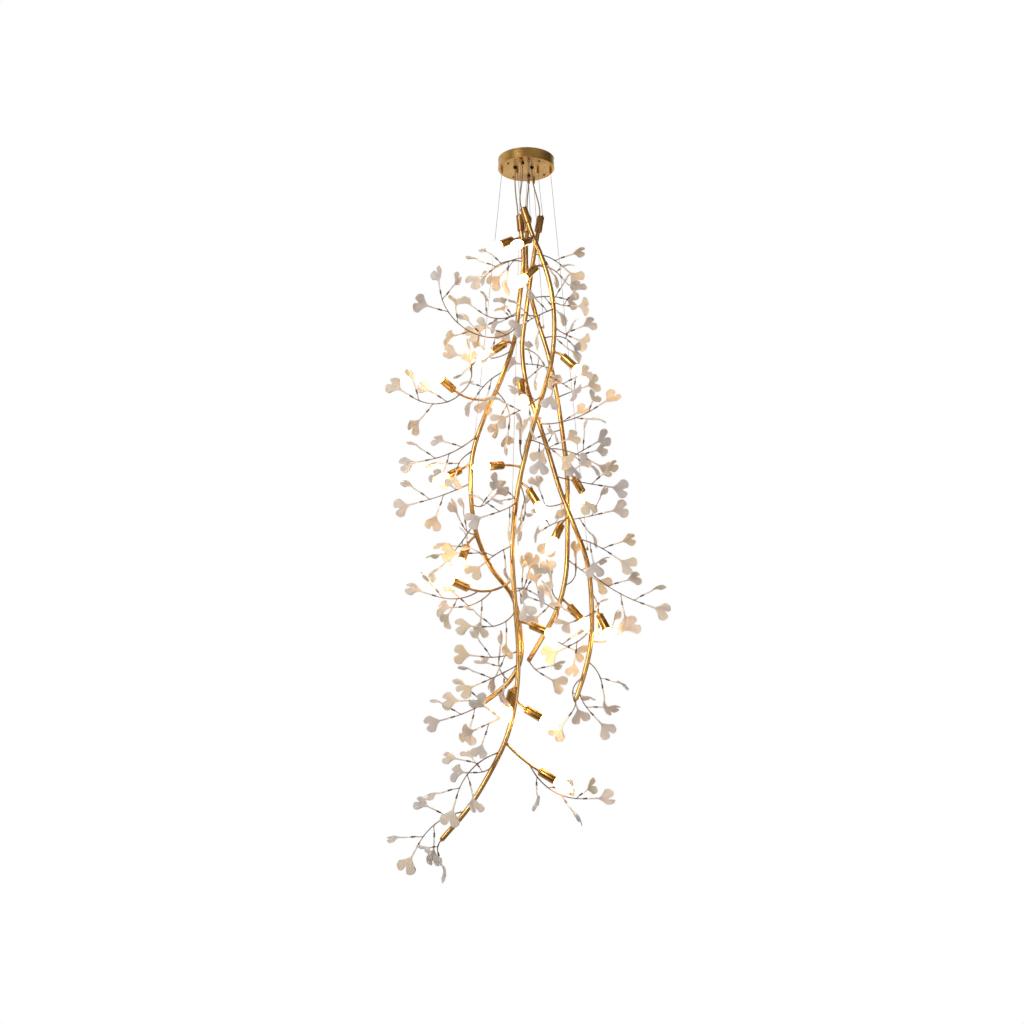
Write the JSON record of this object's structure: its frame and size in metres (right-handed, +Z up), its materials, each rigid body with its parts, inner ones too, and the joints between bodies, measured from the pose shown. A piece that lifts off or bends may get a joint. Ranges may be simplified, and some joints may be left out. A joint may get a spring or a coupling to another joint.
{
  "type": "branch chandelier",
  "caption": "Hanging chandelier of slender brass branches with porcelain leaves and candle lamps, hung on steel wires and cords from a round ceiling canopy.",
  "frame": {"origin": "middle of the ceiling plate's top face, which lies on the ceiling", "axes": "+Z up into the ceiling, +X to the right and +Y away from the viewer of the picture"},
  "size_m": [0.9697, 0.5164, 2.5206],
  "materials": {
    "satin_brass": "satin brushed brass, warm gold, roughness about 0.3",
    "cup_brass": "satin spun brass, a little darker than the stems",
    "twig_brass": "aged brass wire, satin",
    "dark_bronze": "dark patinated bronze ferrules, semi-matt",
    "porcelain": "matt bisque porcelain, greyish lilac to peach, ribbed",
    "lamp_glass": "clear blown glass",
    "filament": "glowing filament sticks, warm white",
    "holder_plastic": "ivory moulded lampholder",
    "cap_metal": "bright rolled screw cap",
    "wire_steel": "stranded steel wire",
    "cord_jacket": "brown-gold textile-look cord jacket",
    "plate_steel": "zinc plated steel plate",
    "dark_steel": "dark bronze painted screws and glands",
    "post_aluminium": "plain turned aluminium",
    "terminal_plastic": "ivory terminal block"
  },
  "bodies": {
    "canopy": {"ceiling_plate": "plate_steel", "canopy_cover": "satin_brass", "canopy_screws": "dark_steel", "spacer_posts": "post_aluminium", "terminal_block": "terminal_plastic", "wire_grips": "satin_brass", "cord_glands": "dark_steel"},
    "front_branch": {"front_stem": "satin_brass", "front_top_cap": "satin_brass", "front_lamp_arms": "satin_brass", "front_twigs": "twig_brass", "front_ferrules": "dark_bronze", "front_leaves": "porcelain", "front_lamp_cups": "cup_brass", "front_lampholders": "holder_plastic", "front_lamp_caps": "cap_metal", "front_lamp_glass": "lamp_glass", "front_filaments": "filament", "front_wires": "wire_steel", "front_cord": "cord_jacket"},
    "left_branch": {"left_stem": "satin_brass", "left_top_cap": "satin_brass", "left_lamp_arms": "satin_brass", "left_twigs": "twig_brass", "left_ferrules": "dark_bronze", "left_leaves": "porcelain", "left_lamp_cups": "cup_brass", "left_lampholders": "holder_plastic", "left_lamp_caps": "cap_metal", "left_lamp_glass": "lamp_glass", "left_filaments": "filament", "left_wires": "wire_steel", "left_cord": "cord_jacket"},
    "right_branch": {"right_stem": "satin_brass", "right_top_cap": "satin_brass", "right_lamp_arms": "satin_brass", "right_twigs": "twig_brass", "right_ferrules": "dark_bronze", "right_leaves": "porcelain", "right_lamp_cups": "cup_brass", "right_lampholders": "holder_plastic", "right_lamp_caps": "cap_metal", "right_lamp_glass": "lamp_glass", "right_filaments": "filament", "right_wires": "wire_steel", "right_cord": "cord_jacket"},
    "back_branch": {"back_stem": "satin_brass", "back_top_cap": "satin_brass", "back_lamp_arms": "satin_brass", "back_twigs": "twig_brass", "back_ferrules": "dark_bronze", "back_leaves": "porcelain", "back_lamp_cups": "cup_brass", "back_lampholders": "holder_plastic", "back_lamp_caps": "cap_metal", "back_lamp_glass": "lamp_glass", "back_filaments": "filament", "back_wires": "wire_steel", "back_cord": "cord_jacket"}
  },
  "joints": [
    {"name": "front_swing", "type": "hinge", "parent": "canopy", "child": "front_branch", "pos_m": [0, -0.084, -0.049], "axis": [1, 0, 0], "range_deg": [-0.8, 0.8]},
    {"name": "left_swing", "type": "hinge", "parent": "canopy", "child": "left_branch", "pos_m": [0, -0.002, -0.049], "axis": [1, 0, 0], "range_deg": [-0.8, 0.8]},
    {"name": "right_swing", "type": "hinge", "parent": "canopy", "child": "right_branch", "pos_m": [0, 0.001, -0.049], "axis": [1, 0, 0], "range_deg": [-0.8, 0.8]},
    {"name": "back_swing", "type": "hinge", "parent": "canopy", "child": "back_branch", "pos_m": [0, 0.084, -0.049], "axis": [1, 0, 0], "range_deg": [-0.8, 0.8]}
  ]
}
